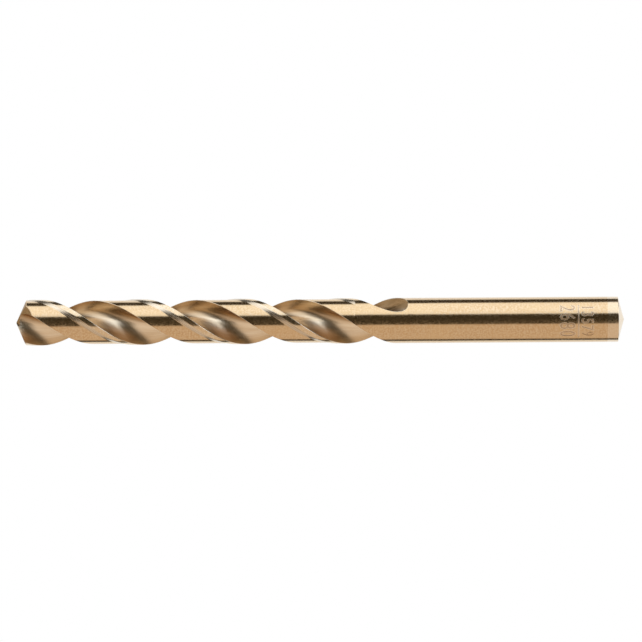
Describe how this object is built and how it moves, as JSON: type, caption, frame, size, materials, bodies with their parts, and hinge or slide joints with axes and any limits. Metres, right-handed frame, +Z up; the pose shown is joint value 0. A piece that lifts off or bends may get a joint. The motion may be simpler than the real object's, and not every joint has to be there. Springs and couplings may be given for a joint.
{
  "type": "twist drill bit",
  "caption": "Straight-shank twist drill bit with right-hand helical flutes, narrow margins and a thinned 135 degree point.",
  "frame": {"origin": "on the axis, where the cylindrical shank ends and the rear cone begins", "axes": "+X along the axis from the point towards the rear end, +Z up as in the picture"},
  "size_m": [0.1328, 0.01, 0.01],
  "materials": {
    "drill_steel": "ground high-speed steel with a bronze-gold oxide tint"
  },
  "bodies": {
    "root": {"drill_bit": "drill_steel"}
  },
  "joints": []
}
